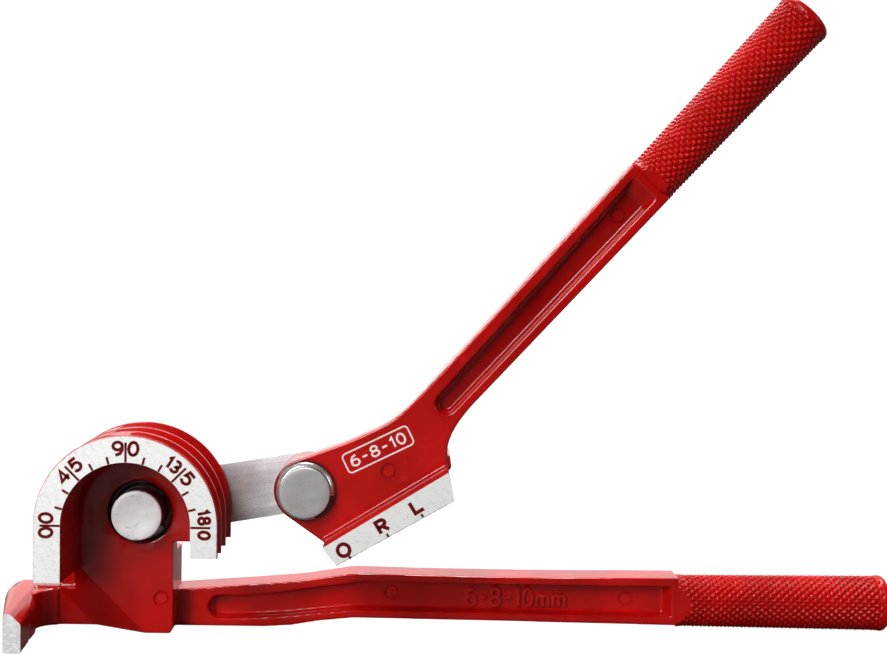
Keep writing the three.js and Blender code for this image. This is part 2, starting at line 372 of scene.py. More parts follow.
class Finish(Tree):
    """A material whose patterns follow the object's own coordinates, in millimetres."""

    def __init__(self, name):
        self.material = bpy.data.materials.new(name)
        self.material.use_nodes = True
        super().__init__(self.material.node_tree)
        self.group.nodes.clear()
        here = self.node("ShaderNodeTexCoord", {}, (), "Object")
        self.place = self.node("ShaderNodeVectorMath", {"operation": "SCALE"}, {0: here, 3: 1000})
        self.y = self.axis(self.place, "Y")

    def axis(self, vector, name):
        return self.node("ShaderNodeSeparateXYZ", {}, (vector,), name)

    def noise(self, scale, detail=3, stretch=None, turn=0, roughness=0.55):
        """Noise from 0 to 1, with scale in repeats per millimetre, drawn out along turned axes."""
        where = self.place
        if stretch:
            spin = (0, math.radians(turn), 0)
            where = self.node("ShaderNodeMapping", {}, {0: where, 2: spin})
            where = self.vector("MULTIPLY", where, stretch)
        values = {"Vector": where, "Scale": scale, "Detail": detail, "Roughness": roughness}
        return self.node("ShaderNodeTexNoise", {}, values, "Fac")

    def distance_from(self, centre):
        """Distance in X and Z from a pin, in millimetres."""
        away = self.vector("SUBTRACT", self.place, (centre[0], 0, centre[1] + FLOOR))
        away = self.vector("MULTIPLY", away, (1, 0, 1))
        return self.vector("LENGTH", away, output="Value")

    def bump(self, height, depth_mm, strength=1.0, normal=None):
        values = {"Height": height, "Distance": depth_mm / 1000, "Strength": strength}
        if normal:
            values["Normal"] = normal
        return self.node("ShaderNodeBump", {}, values, "Normal")

    def surface(self, values):
        shader = self.node("ShaderNodeBsdfPrincipled", {}, values, "BSDF")
        self.node_out(shader)
        return self.material

    def node_out(self, shader):
        out = self.group.nodes.new("ShaderNodeOutputMaterial")
        self.group.links.new(shader.output, out.inputs["Surface"])


def colour(red, green, blue):
    return (red, green, blue, 1)


RED = colour(0.50, 0.003, 0.002)
DEEP_RED = colour(0.36, 0.002, 0.001)
# Lighter red for sharp edges: partly thin rubbed paint, partly a painted highlight.
WORN_SHEEN_RED = colour(0.62, 0.010, 0.008)
# Darker red painted as shade on the floor of the upper handle's channel.
CHANNEL_SHADE_RED = colour(0.22, 0.001, 0.001)
# Near-black red painted where shade falls, by the pins and by the hook.
SHADE_RED = colour(0.075, 0.001, 0.002)
METAL_EDGE = colour(0.30, 0.27, 0.26)
BARE = colour(0.95, 0.95, 0.93)
BARE_DULL = colour(0.76, 0.76, 0.74)


def red_casting(name, coat):
    """Gloss red paint over die casting, with the front plane ground back to bare metal, and painted shade by the
    pins, by the hook and in the upper channel.
    """
    f = Finish(name)
    cloudy = f.noise(0.06, 4)
    cast_skin = f.noise(0.55, 5)
    peel = f.noise(1.5, 3)
    edge = f.between(f.node("ShaderNodeNewGeometry", {}, (), "Pointiness"), 0.515, 0.57)
    # Sharp edges turn lighter red: partly rubbed thin paint, partly a painted highlight along the edges.
    rubbed_and_sheen = edge * f.between(f.noise(0.35, 4), 0.42, 0.62)
    # Painted shade: near black within the recess round the former pin and round the shoe pin's seat.
    well = f.between(f.distance_from((0, 0)), 9.6, 8.7) * (f.y > WEB_FRONT - ORIGIN_Y + 0.1)
    seat = f.between(f.distance_from(SHOE_PIN), 9.2, 8.2) * (f.y > PLATE_FRONT - ORIGIN_Y - 0.3)
    pin_recess_shade = well + seat
    x = f.axis(f.place, "X")
    z = f.axis(f.place, "Z") - FLOOR
    # Painted shade: the arm darkens towards the hook bar, which shades it.
    arm_end = f.between(x, -19, -27) * (x > -31.5) * (f.y > ARM_FRONT - ORIGIN_Y - 2)
    # Painted shade: the floor of the upper handle's channel, where its flanges shade it.
    channel = (f.y > UP_WEB[0] - ORIGIN_Y - 0.4) * (f.y < UP_WEB[0] - ORIGIN_Y + 0.7) * (x > 80)
    facing = f.axis(f.node("ShaderNodeNewGeometry", {}, (), "True Normal"), "Y") < -0.9
    bare = facing * (f.y < -ORIGIN_Y + 0.15)
    scratched = f.noise(3.2, 4, (1, 1, 0.12), 38) * 0.5 + f.noise(3.6, 4, (0.12, 1, 1), -12) * 0.5
    worked = scratched * 0.7 + f.noise(1.4, 6, roughness=0.7) * 0.3
    grind = f.between(worked, 0.38, 0.52)
    above = z.math("MAXIMUM", z, 0)
    reach = (x * x + above * above).math("SQRT", x * x + above * above)
    ring_edge = f.between(reach, FACE_R - 0.4, FACE_R - 0.1) * (x < 25)
    slope = math.radians(STRIP_SLOPE - 2)
    across = (z - STRIP[0][1]) * math.cos(slope) - (x - STRIP[0][0]) * math.sin(slope)
    strip_edge = f.between(across, 0.45, 0.15) * (x > 40)
    metal_edge = (ring_edge * 0.4 + strip_edge) * f.between(f.noise(0.9, 3), 0.3, 0.6)

    paint = f.blend(f.between(cloudy, 0.3, 0.7), DEEP_RED, RED)
    paint = f.blend(f.between(cast_skin, 0.55, 0.8) * 0.25, paint, DEEP_RED)
    paint = f.blend(rubbed_and_sheen * 0.4, paint, WORN_SHEEN_RED)
    paint = f.blend(channel * 0.75, paint, CHANNEL_SHADE_RED)
    paint = f.blend(arm_end * 0.5, paint, SHADE_RED)
    paint = f.blend(pin_recess_shade * 0.9, paint, SHADE_RED)
    metal = f.blend(grind, BARE_DULL, BARE)
    metal = f.blend(metal_edge * 0.7, metal, METAL_EDGE)
    gloss = 0.24 + cast_skin * 0.14 + rubbed_and_sheen * 0.12
    dull = 0.62 - grind * 0.14
    height = peel * 0.45 + cast_skin * 0.55
    relief = f.bump(height * (1 - bare) + scratched * bare * 0.12, 0.09, 0.7)
    return f.surface({
        "Base Color": f.blend(bare, paint, metal),
        "Roughness": gloss * (1 - bare) + dull * bare,
        "Metallic": bare * 0.35,
        "Specular IOR Level": 0.1,
        "Coat Weight": (1 - bare) * coat,
        "Coat Roughness": 0.05,
        "Normal": relief,
    })


def brushed_strap():
    f = Finish("satin_strap_steel")
    lines = f.noise(0.9, 5, (0.12, 1, 1), LINK_ANGLE)
    cloud = f.noise(0.12, 3)
    specks = f.noise(2.6, 3)
    tone = lines * 0.22 + cloud * 0.33 + specks * 0.45
    shade = f.blend(f.between(tone, 0.35, 0.65), colour(0.52, 0.55, 0.555), colour(0.86, 0.90, 0.905))
    shadowed = f.between(f.distance_from((0, 0)), 36, 22)
    shade = f.blend(shadowed * 0.5, shade, colour(0.25, 0.26, 0.26))
    return f.surface({
        "Base Color": shade,
        "Metallic": 0.12,
        "Roughness": 0.4 + lines * 0.2,
        "Normal": f.bump(lines * 0.7 + specks * 0.3, 0.03, 0.6),
    })


def turned_steel(name, centre, face, light, dark, rings=5.0):
    """A lathe-turned face: fine rings about the pin, with a few handling scratches."""
    f = Finish(name)
    radius = f.distance_from(centre)
    ring = (radius * rings + f.noise(0.25, 2) * 1.6).math("SINE", radius * rings * math.pi)
    fine = ring * 0.5 + 0.5
    scratch = f.between(f.noise(1.3, 5, (0.22, 1, 1.3), 35), 0.6, 0.7)
    scratch_two = f.between(f.noise(1.1, 5, (0.3, 1, 1.2), -5), 0.62, 0.72)
    marks = (scratch + scratch_two).math("MINIMUM", 1, scratch + scratch_two)
    cloud = f.noise(0.3, 3)
    shade = f.blend(f.between(fine * 0.25 + cloud * 0.75, 0.3, 0.7), dark, light)
    shade = f.blend(marks * 0.45, shade, colour(0.30, 0.29, 0.28))
    # Painted shade: the side of the pin just behind its face is painted near black, for its dark reflection and
    # shade.
    painted_dark_side = f.between(f.y, face - ORIGIN_Y + 0.3, face - ORIGIN_Y + 1) * (f.y < STRAP_Y[0] - ORIGIN_Y)
    shade = f.blend(painted_dark_side * 0.9, shade, colour(0.03, 0.008, 0.008))
    return f.surface({
        "Base Color": shade,
        "Metallic": 0.35,
        "Roughness": 0.34 + cloud * 0.18 + marks * 0.1,
        "Normal": f.bump(fine * 0.6 + marks * -0.8, 0.02, 0.6),
    })


def spring_steel():
    f = Finish("dark_spring_steel")
    cloud = f.noise(0.8, 4)
    edge = f.between(f.node("ShaderNodeNewGeometry", {}, (), "Pointiness"), 0.51, 0.58)
    # Near-black spring steel, darkened further as painted shade where the ring sits in its recess.
    shade = f.blend(f.between(cloud, 0.3, 0.7), colour(0.02, 0.008, 0.008), colour(0.05, 0.02, 0.02))
    shade = f.blend(edge * 0.3, shade, colour(0.4, 0.38, 0.37))
    # Painted highlight: low on the right the ring is painted near white, where it catches the light.
    low_right = f.axis(f.place, "X") * 0.5 - f.axis(f.place, "Z") + FLOOR
    painted_catchlight = f.between(low_right, 5.0, 6.5)
    shade = f.blend(painted_catchlight, shade, colour(0.98, 0.95, 0.93))
    return f.surface({
        "Base Color": shade,
        "Metallic": 0.3,
        "Roughness": 0.32 + cloud * 0.2,
        "Normal": f.bump(cloud, 0.03, 0.4),
    })


def clean_steel():
    """Polished spring steel, a little grey with handling."""
    f = Finish("polished_spring_steel")
    cloud = f.noise(0.9, 4)
    lines = f.noise(2.4, 3, (1, 0.2, 1))
    shade = f.blend(f.between(cloud, 0.35, 0.7), colour(0.55, 0.545, 0.54), colour(0.72, 0.71, 0.7))
    return f.surface({
        "Base Color": shade,
        "Metallic": 0.8,
        "Roughness": 0.2 + lines * 0.15,
        "Normal": f.bump(lines, 0.02, 0.4),
    })


def washer_zinc():
    f = Finish("zinc_washer")
    cloud = f.noise(0.5, 5)
    lines = f.noise(1.2, 4, (1, 1, 0.15), 15)
    shade = f.blend(f.between(cloud, 0.35, 0.7), colour(0.42, 0.42, 0.43), colour(0.60, 0.60, 0.60))
    return f.surface({
        "Base Color": shade,
        "Metallic": 0.8,
        "Roughness": 0.3 + lines * 0.2,
        "Normal": f.bump(lines, 0.02, 0.4),
    })


def ink(name, strong, weak):
    """Paint left in the stamped marks, or printed, thin in places."""
    f = Finish(name)
    worn = f.between(f.noise(1.6, 4), 0.42, 0.66)
    return f.surface({
        "Base Color": f.blend(worn, strong, weak),
        "Roughness": 0.42 + worn * 0.2,
        "Specular IOR Level": 0.1,
        "Normal": f.bump(f.noise(2.5, 3), 0.02, 0.5),
    })


# ---- Lower casting ----

def former_profile():
    front = [(FACE_INNER_R, -FACE_PROUD), (FACE_R, -FACE_PROUD), (FACE_R, 0)]
    rims = []
    edges = [(0.55, 1.0)]
    for (r1, y1), (r2, y2) in zip(TUBES, TUBES[1:]):
        edges.append((y1 + r1, y2 - r2))
    edges.append((TUBES[-1][1] + TUBES[-1][0], FORMER_DEPTH))
    for number, (start, end) in enumerate(edges):
        width = end - start
        inset = min(0.3, width / 3)
        rims += [(RIM_R - inset, start), (RIM_R - inset * 0.3, start + inset * 0.3)]
        rims += [(RIM_R, start + inset), (RIM_R, end - inset)]
        rims += [(RIM_R - inset * 0.3, end - inset * 0.3), (RIM_R - inset, end)]
        if number < len(TUBES):
            tube_r, tube_y = TUBES[number]
            for k in range(1, 20):
                a = math.pi * k / 20
                r = RIM_R - tube_r * math.sin(a)
                if r < RIM_R - 0.5:
                    rims.append((r, tube_y - tube_r * math.cos(a)))
    rear = [(RIM_R - 0.6, FORMER_DEPTH), (POCKET_R - 1, FORMER_DEPTH)]
    rear += [(POCKET_R - POCKET_FILLET, WEB_FRONT + 2)]
    wall = []
    for k in range(7):
        a = math.radians(90 * k / 6)
        wall.append((POCKET_R - POCKET_FILLET * (1 - math.sin(a)), WEB_FRONT + 0.06
                     - POCKET_FILLET * (1 - math.cos(a))))
    return front + rims + rear + wall


def former_ring():
    """The rim profile follows the left leg, the half turn and the right leg."""
    profile = former_profile()
    stations = [(180, LEG_LEFT), (180, LEG_LEFT + 0.4)]
    stations += [(180 - 180 * k / 72, 0) for k in range(73)]
    stations += [(0, LEG_RIGHT + 0.4), (0, LEG_RIGHT)]
    rings = []
    for number, (angle, drop) in enumerate(stations):
        c, s = math.cos(math.radians(angle)), math.sin(math.radians(angle))
        rings.append([(r * c, y, r * s + drop) for r, y in profile])
    return strip_of_rings(rings)


def former_web():
    r = POCKET_R + 2
    outline = [(-r, LEG_LEFT + 0.5)] + arc(0, 0, r, 180, 0, 48)
    outline += [(r, LEG_RIGHT), (9.4, LEG_RIGHT), (9.4, -FLOOR + 2)]
    outline += arc(7.4, -FLOOR + 2, 2, 0, -90, 6)[1:]
    outline += [(3.2, -FLOOR), (1.4, -FLOOR + 0.7), (-16.4, -16.6), (-16.4, LEG_LEFT + 0.5)]
    return prism(outline, WEB_FRONT, WEB_REAR)


def column_foot():
    outline = [(-16.4, -12), (-16.4, -16.6), (1.4, -FLOOR + 0.7), (3.2, -FLOOR), (7.4, -FLOOR)]
    outline += arc(7.4, -FLOOR + 2, 2, -90, 0, 6)[1:]
    outline += [(9.4, -12)]
    return prism(outline, WEB_FRONT + 0.5, ARM_REAR)


def arm_slope():
    """The slope between the column and the arm, falling away from the diagonal crease."""
    block = prism([(9, -FLOOR), (-16, -10), (-19.2, -16), (-19.2, ARM_TOP), (-26, ARM_TOP),
                   (-26, -FLOOR)], WEB_FRONT, ARM_REAR)
    section = [(-20, WEB_FRONT), (-20, -5), (2 * SLOPE_RUN, -5), (2 * SLOPE_RUN, ARM_FRONT),
               (SLOPE_RUN, ARM_FRONT), (0, WEB_FRONT)]
    h = math.sqrt(0.5)
    ends = []
    for along in (-45, 45):
        ends.append([(-7.2 - h * s + h * along, y, -25.8 - h * s - h * along) for s, y in section])
    return carved(block, [strip_of_rings(ends)])


def arm():
    outline = [(-34, -FLOOR), (9, -FLOOR), (9, -13), (-17, -13), (-24.4, -19.5), (-24.4, ARM_TOP),
               (-34, ARM_TOP)]
    return prism(outline, ARM_FRONT, ARM_REAR)


def tube_seat(tube):
    r, y = tube
    rings = []
    for z in (-60, 0):
        turns = [2 * math.pi * k / 48 for k in range(48)]
        rings.append([(-RIM_R + r * math.cos(a), y + r * math.sin(a), z) for a in turns])
    return strip_of_rings(rings)


def hook_bar():
    """Slim at its front face, and wider to the left towards the rear."""
    front = [(-32.4, -FLOOR), (-27.6, -FLOOR), (-27.6, -26.9), (-30.5, -24), (-31.7, -24),
             (-32.2, -24.3), (-32.4, -24.9)]
    rear = [(-40, -FLOOR), (-29.4, -FLOOR), (-29.4, -26.6), (-31.6, ARM_TOP), (-36.6, ARM_TOP),
            (-39, -24.6), (-40, -27.2)]
    corner = [(-31.5, -FLOOR), (-24.6, -FLOOR), (-24.6, -24.2), (-31.5, -24.2)]
    seats = [tube_seat(tube) for tube in TUBES]
    bars = [
        prism(front, -2 * FACE_PROUD, 0.01),
        loft(front, 0, rear, ARM_FRONT),
        prism(rear, ARM_FRONT - 0.05, ARM_REAR),
        prism(corner, TUBES[2][1], ARM_FRONT + 1),
    ]
    return [carved(bar, seats) for bar in bars]


def lower_channel(y_top, y_floor):
    """The pocket in one side of the lower handle: drafted walls and a sloped end by the grip."""
    outlines = []
    for inset, end in ((0, LOW_CHANNEL_END), (0.5, LOW_CHANNEL_END - CHANNEL_SLOPE)):
        low = [(28, -32.5), (40, -31.8), (50, -30.7), (60, -29.7), (end, -30.5)]
        high = [(end, -21.4), (62, -21.2), (48, -23.2), (36, -25), (28, -25.7)]
        outline = [(x, z + inset) for x, z in low] + [(x, z - inset) for x, z in high]
        outline += arc(21.4, -29.1, 3.4 - inset, 90, 270, 12)
        outlines.append(outline)
    return loft(outlines[0], y_top, outlines[1], y_floor)


def lower_bar():
    bar = prism([(-2, -FLOOR), (34, -FLOOR), (42, -34.3), (50, -32.9), (60, -31.9), (97, -32.2),
                 (155, -32.9), (155, -18.9), (111, -19.3), (76, -19.1), (60, -18.8), (46, -21.1),
                 (33, -22.3), (-2, -25)], LOW_FRONT, LOW_REAR)
    return carved(bar, [
        lower_channel(LOW_FRONT - 0.2, LOW_WEB[0]),
        lower_channel(LOW_REAR + 0.2, LOW_WEB[1]),
    ])


def ejector_mark(x, y, z, r=2.35, depth=0.5):
    """A shallow ring-edged disc left by an ejector."""
    floor = y + depth * 0.45
    profile = [(0, y - 2), (r, y - 2), (r - 0.1, y + depth), (r - 0.55, y + depth), (r - 0.75, floor)]
    return turned(profile + [(0, floor)], x, z, 40)


def front_plane():
    """Everything in front of the ground faces."""
    outline = [(-60, -60), (120, -60), (120, 60), (-60, 60)]
    return prism(outline, -10, 0)


def bored(x, z, r, y_front, y_rear):
    return turned([(0, y_front), (r, y_front), (r, y_rear), (0, y_rear)], x, z)


def pin_recess():
    """The spring ring sits in a recess with a soft lip."""
    profile = [(0, WEB_FRONT - 1), (RECESS_R + 0.8, WEB_FRONT - 1), (RECESS_R + 0.6, WEB_FRONT - 0.05)]
    profile += [(RECESS_R + 0.2, WEB_FRONT + 0.15), (RECESS_R, WEB_FRONT + 0.6)]
    profile += [(RECESS_R - 0.15, RECESS_FLOOR - 0.3), (RECESS_R - 0.45, RECESS_FLOOR), (0, RECESS_FLOOR)]
    return turned(profile, 0, 0)


def lower_casting(material):
    shapes = [former_web(), column_foot(), arm_slope(), arm(), lower_bar()] + hook_bar()
    body = cast(shapes, "lower_casting")
    combine(body, former_ring(), "UNION")
    combine(body, front_plane(), "DIFFERENCE")
    combine(body, bored(0, 0, PIN_HOLE_R, WEB_FRONT - 1, WEB_REAR + 1), "DIFFERENCE")
    combine(body, pin_recess(), "DIFFERENCE")
    for x, y, z in ((71.3, LOW_WEB[0], -25.0), (140, LOW_WEB[0], -26), (6.2, WEB_FRONT, -24.6)):
        combine(body, ejector_mark(x, y, z), "DIFFERENCE")
    settle(body)
    return piece(body, "lower_casting", "base", material, ["lower_handle"])


# ---- Upper casting ----

def beside(t, w):
    """A point beside the axis of the upper handle: t along it and w to its left."""
    c, s = math.cos(math.radians(HANDLE_ANGLE)), math.sin(math.radians(HANDLE_ANGLE))
    return (HANDLE_FOOT[0] + t * c - w * s, HANDLE_FOOT[1] + t * s + w * c)


def shoe_plate():
    x, z = SHOE_PIN
    outline = arc(x, z, BOSS_R, 232, 108, 20) + [(57.6, 21.6), (66, 25.5)]
    outline += curve((66, 25.5), (72, 28.4), (77.5, 34.6))
    outline += [beside(6, 6.3), beside(6, -6.1)]
    outline += curve(beside(6, -6.1), (86, 26), (86, 20))
    outline += [(86, 13), (53.5, -7)]
    return prism(outline, PLATE_FRONT, PLATE_REAR)


def upper_bar():
    outline = [beside(-9, -4.6), beside(4, -6.1), beside(81, -6.7), beside(81, 7.2),
               beside(-1, 6.2), beside(-12, 5.2)]
    return prism(outline, PLATE_FRONT, UP_REAR)


def upper_channel(y_top, y_floor):
    outlines = []
    cx, cz = beside(-2.2, -0.4)
    for inset, end in ((0, UP_CHANNEL_END), (0.9, UP_CHANNEL_END - CHANNEL_SLOPE - 1.7)):
        outline = [beside(end, -4 + inset), beside(end, 4.7 - inset)]
        outline += arc(cx, cz, 3.2 - inset, HANDLE_ANGLE + 90, HANDLE_ANGLE + 270, 12)
        outlines.append(outline)
    return loft(outlines[0], y_top, outlines[1], y_floor)


def shoe_seats():
    """Seats that match the grooves of the former when the shoe is closed on a tube."""
    dx, dz = STRIP[1][0] - STRIP[0][0], STRIP[1][1] - STRIP[0][1]
    slope = math.atan2(dz, dx)
    gap = LINK_LENGTH - RIM_R
    cx = SHOE_PIN[0] + gap * math.sin(slope)
    cz = SHOE_PIN[1] - gap * math.cos(slope)
    seats = []
    for r, y in TUBES:
        rings = []
        for t in (-80, 80):
            ring = []
            for k in range(48):
                a = 2 * math.pi * k / 48
                across = r * math.cos(a)
                x = cx + t * math.cos(slope) - across * math.sin(slope)
                z = cz + t * math.sin(slope) + across * math.cos(slope)
                ring.append((x, y + r * math.sin(a), z))
            rings.append(ring)
        seats.append(strip_of_rings(rings))
    return seats


def upper_casting(material):
    front_channel = upper_channel(PLATE_FRONT - 0.2, UP_WEB[0])
    rear_channel = upper_channel(UP_REAR + 0.2, UP_WEB[1])
    x, z = SHOE_PIN
    shapes = [
        carved(shoe_plate(), [front_channel, rear_channel]),
        carved(upper_bar(), [front_channel, rear_channel]),
        prism(STRIP, -2 * FACE_PROUD, SHOE_REAR),
        prism(SHOE_BACK, PLATE_FRONT + 1, SHOE_REAR),
        turned([(0, PLATE_FRONT), (BOSS_R, PLATE_FRONT), (BOSS_R, WEB_REAR), (0, WEB_REAR)], x, z),
    ]
    body = cast(shapes, "upper_casting")
    combine(body, front_plane(), "DIFFERENCE")
    for seat in shoe_seats():
        combine(body, seat, "DIFFERENCE")
    combine(body, bored(x, z, PIN_HOLE_R, PLATE_FRONT - 1, WEB_REAR + 1), "DIFFERENCE")
    for mx, my, mz in ((69.9, PLATE_FRONT, 14.1), (132, UP_WEB[0], 85.8)):
        combine(body, ejector_mark(mx, my, mz), "DIFFERENCE")
    settle(body)
    return piece(body, "upper_casting", "lever", material, ["upper_handle"])


# ---- Knurled grips ----

def new_group(name, inputs):
    """A geometry tree with named size inputs and one geometry output."""
    group = bpy.data.node_groups.new(name, "GeometryNodeTree")
    kinds = {float: "NodeSocketFloat", int: "NodeSocketInt"}
    for label, value in inputs.items():
        socket = group.interface.new_socket(label, in_out="INPUT", socket_type=kinds[type(value)])
        socket.default_value = value
    group.interface.new_socket("Geometry", in_out="OUTPUT", socket_type="NodeSocketGeometry")
    entry = group.nodes.new("NodeGroupInput")
    tree = Tree(group)
    sizes = {label: Socket(tree, entry.outputs[label]) for label in inputs}
    return tree, sizes


def end_group(tree, geometry, material):
    real = tree.node("GeometryNodeRealizeInstances", {}, (geometry,))
    dressed = tree.node("GeometryNodeSetMaterial", {}, {"Geometry": real, "Material": material})
    out = tree.group.nodes.new("NodeGroupOutput")
    tree.group.links.new(dressed.output, out.inputs[0])


def grown(name, group, sizes):
    """The plain mesh that a geometry tree makes with these sizes."""
    obj = bpy.data.objects.new(name, bpy.data.meshes.new(name))
    bpy.context.collection.objects.link(obj)
    growth = obj.modifiers.new("growth", "NODES")
    growth.node_group = group
    for item in group.interface.items_tree:
        if item.in_out == "INPUT" and item.name in sizes:
            growth[item.identifier] = sizes[item.name]
    return applied(obj)


def knurl_group(material):
    """Diamonds round a tapered sleeve along X, on a staggered mesh whose edges follow the cuts."""
    tree, size = new_group("diamond_knurl", {
        "Start": 158.5,
        "Length": 56.0,
        "Near radius": 7.65,
        "Far radius": 8.15,
        "Diamonds round": 22,
        "Diamonds along": 25,
        "Steps": 6,
        "Depth": 0.8,
    })
    columns = size["Diamonds round"] * size["Steps"]
    rows = size["Diamonds along"] * size["Steps"] * 2
    grid = tree.node("GeometryNodeMeshGrid", {}, {
        "Size X": 1.0,
        "Size Y": 1.0,
        "Vertices X": columns + 1,
        "Vertices Y": rows + 1,
    })
    place = tree.node("GeometryNodeInputPosition")
    u = tree.node("ShaderNodeSeparateXYZ", {}, (place,), "X") + 0.5
    v = tree.node("ShaderNodeSeparateXYZ", {}, (place,), "Y") + 0.5
    row = (v * rows).math("ROUND", v * rows)
    odd = row.math("MODULO", row, 2)
    u = u + odd * 0.5 / columns
    turn = u * size["Diamonds round"]
    climb = v * size["Diamonds along"]
    one = (turn + climb).math("PINGPONG", turn + climb, 0.5) * 2
    two = (turn - climb).math("PINGPONG", turn - climb + 64, 0.5) * 2
    pyramid = one.math("MINIMUM", one, two)
    rise = pyramid ** 0.9
    edge_fade = (v * 30).math("MINIMUM", v * 30, 1)
    far_fade = ((1 - v) * 30).math("MINIMUM", (1 - v) * 30, 1)
    lift = (rise - 1) * size["Depth"] * edge_fade * far_fade
    radius = size["Near radius"] + (size["Far radius"] - size["Near radius"]) * v + lift
    angle = u * (2 * math.pi)
    wrapped = tree.node("ShaderNodeCombineXYZ", {}, {
        "X": size["Start"] + size["Length"] * v,
        "Y": radius * angle.math("COSINE", angle),
        "Z": radius * angle.math("SINE", angle),
    })
    sleeve = tree.node("GeometryNodeSetPosition", {}, {"Geometry": grid, "Position": wrapped})
    split = tree.node("GeometryNodeTriangulate", {}, (sleeve,))
    closed = tree.node("GeometryNodeMergeByDistance", {}, {"Geometry": split, "Distance": 0.005})
    end_group(tree, closed, material)
    return tree.group


def close_grip(obj, near_rings, far_rings):
    """Rings of radius and place along X close both ends of the sleeve."""
    work = bmesh.new()
    work.from_mesh(obj.data)
    open_edges = [e for e in work.edges if e.is_boundary]
    ends = {}
    for e in open_edges:
        middle = (e.verts[0].co.x + e.verts[1].co.x) / 2
        ends.setdefault(middle > near_rings[0][1] + 20, []).append(e)
    for far, rings in ((False, near_rings), (True, far_rings)):
        edges = ends[far]
        for r, x in rings:
            made = bmesh.ops.extrude_edge_only(work, edges=edges)["geom"]
            edges = [g for g in made if isinstance(g, bmesh.types.BMEdge) and g.is_boundary]
            for vert in {v for e in edges for v in e.verts}:
                spin = math.atan2(vert.co.z, vert.co.y)
                vert.co = (x, r * math.cos(spin), r * math.sin(spin))
        loop = bmesh.ops.contextual_create(work, geom=edges)
    bmesh.ops.recalc_face_normals(work, faces=work.faces)
    work.to_mesh(obj.data)
    work.free()


def flatten_tongue(obj, start, slope, front, rear):
    """The flat of the handle runs on over the knurl as a tongue, on both sides."""
    for vert in obj.data.vertices:
        reach = (vert.co.x - start) * slope
        if vert.co.y < front - reach:
            vert.co.y = front - reach
        if vert.co.y > rear + reach:
            vert.co.y = rear + reach


def grip(name, body, group, material, sizes, tongue, place, node):
    obj = grown(name, group, sizes)
    start, length = sizes["Start"], sizes["Length"]
    near, far = sizes["Near radius"], sizes["Far radius"]
    end = start + length
    far_rings = [(far - 0.05, end + 0.3), (far - 0.2, end + 0.8), (far - 0.6, end + 1.25),
                 (far - 1.2, end + 1.5), (far - 2.2, end + 1.6), (far - 4.2, end + 1.55), (0.4, end + 1.5)]
    near_rings = [(near - 0.3, start - 0.5), (near - 1.1, start - 1), (near - 3, start - 1.4)]
    close_grip(obj, near_rings, far_rings)
    flatten_tongue(obj, *tongue)
    obj.data.transform(place)
    settle(obj, 60)
    return piece(obj, name, body, material, [node])


# ---- Strap, pins, rings and washers ----

def link_strap(material):
    x, z = SHOE_PIN
    outline = arc(0, 0, STRAP_R, LINK_ANGLE + 90, LINK_ANGLE + 270, 40)
    outline += arc(x, z, STRAP_R, LINK_ANGLE - 90, LINK_ANGLE + 90, 40)
    holes = [bored(cx, cz, SHANK_R + 0.25, STRAP_Y[0] - 1, STRAP_Y[1] + 1) for cx, cz in ((0, 0), SHOE_PIN)]
    strap = solid(carved(prism(outline, *STRAP_Y), holes), "strap")
    worn = strap.modifiers.new("worn", "BEVEL")
    worn.width = 0.28
    worn.segments = 3
    worn.limit_method = "ANGLE"
    worn.angle_limit = math.radians(50)
    applied(strap)
    settle(strap, 35)
    return piece(strap, "strap", "link", material, ["link_strap"])


def pin_profile(face, ring_front):
    """A crowned face with a rolled edge, a ring groove, a shoulder and a riveted head."""
    points = [(0, face + 0.04), (2.5, face + 0.03), (5.4, face + 0.01), (PIN_R - 0.35, face)]
    points += [(PIN_R - 0.18, face + 0.05), (PIN_R - 0.06, face + 0.16), (PIN_R, face + 0.34)]
    points += [(PIN_R, ring_front - 0.1), (6, ring_front - 0.1)]
    points += [(6, ring_front + RING_T + 0.1), (PIN_R, ring_front + RING_T + 0.1)]
    points += [(PIN_R, WASHER_Y[0] - 0.35), (SHANK_R, WASHER_Y[0] - 0.35), (SHANK_R, HEAD_Y[0])]
    points += [(SHANK_R + 1.45, HEAD_Y[0]), (SHANK_R + 1.6, HEAD_Y[0] + 0.2), (SHANK_R + 1.5, HEAD_Y[0] + 0.7)]
    points += [(SHANK_R + 0.9, HEAD_Y[1] - 0.25), (SHANK_R - 0.5, HEAD_Y[1] - 0.02), (3.2, HEAD_Y[1])]
    points += [(2.4, HEAD_Y[1] - 0.25), (0, HEAD_Y[1] - 0.3)]
    return points


def pivot_pin(name, centre, face, ring_front, material):
    pin = solid(turned(pin_profile(face, ring_front), *centre, segments=128), name)
    settle(pin, 30)
    return piece(pin, name + "_turned", "link", material, [name])


def split_ring(name, centre, front, gap, material):
    """An open spring ring with a coned front. The gap goes from one angle to the other."""
    inner, outer = 6.15, RING_R
    section = [(inner, front + 0.1), (inner + 0.1, front), (outer - 0.95, front + 0.02),
               (outer - 0.8, front + 0.1), (outer - 0.1, front + 0.75), (outer, front + 0.9),
               (outer, front + RING_T - 0.1), (outer - 0.1, front + RING_T),
               (inner + 0.1, front + RING_T), (inner, front + RING_T - 0.1)]
    steps = 80
    start, end = gap[1], gap[0] + 360
    rings = []
    for k in range(steps + 1):
        a = math.radians(start + (end - start) * k / steps)
        rings.append([(centre[0] + r * math.cos(a), y, centre[1] + r * math.sin(a)) for r, y in section])
    ring = solid(strip_of_rings(rings), name)
    settle(ring, 35)
    return piece(ring, name.replace("_ring", "_spring_ring"), "link", material, [name])


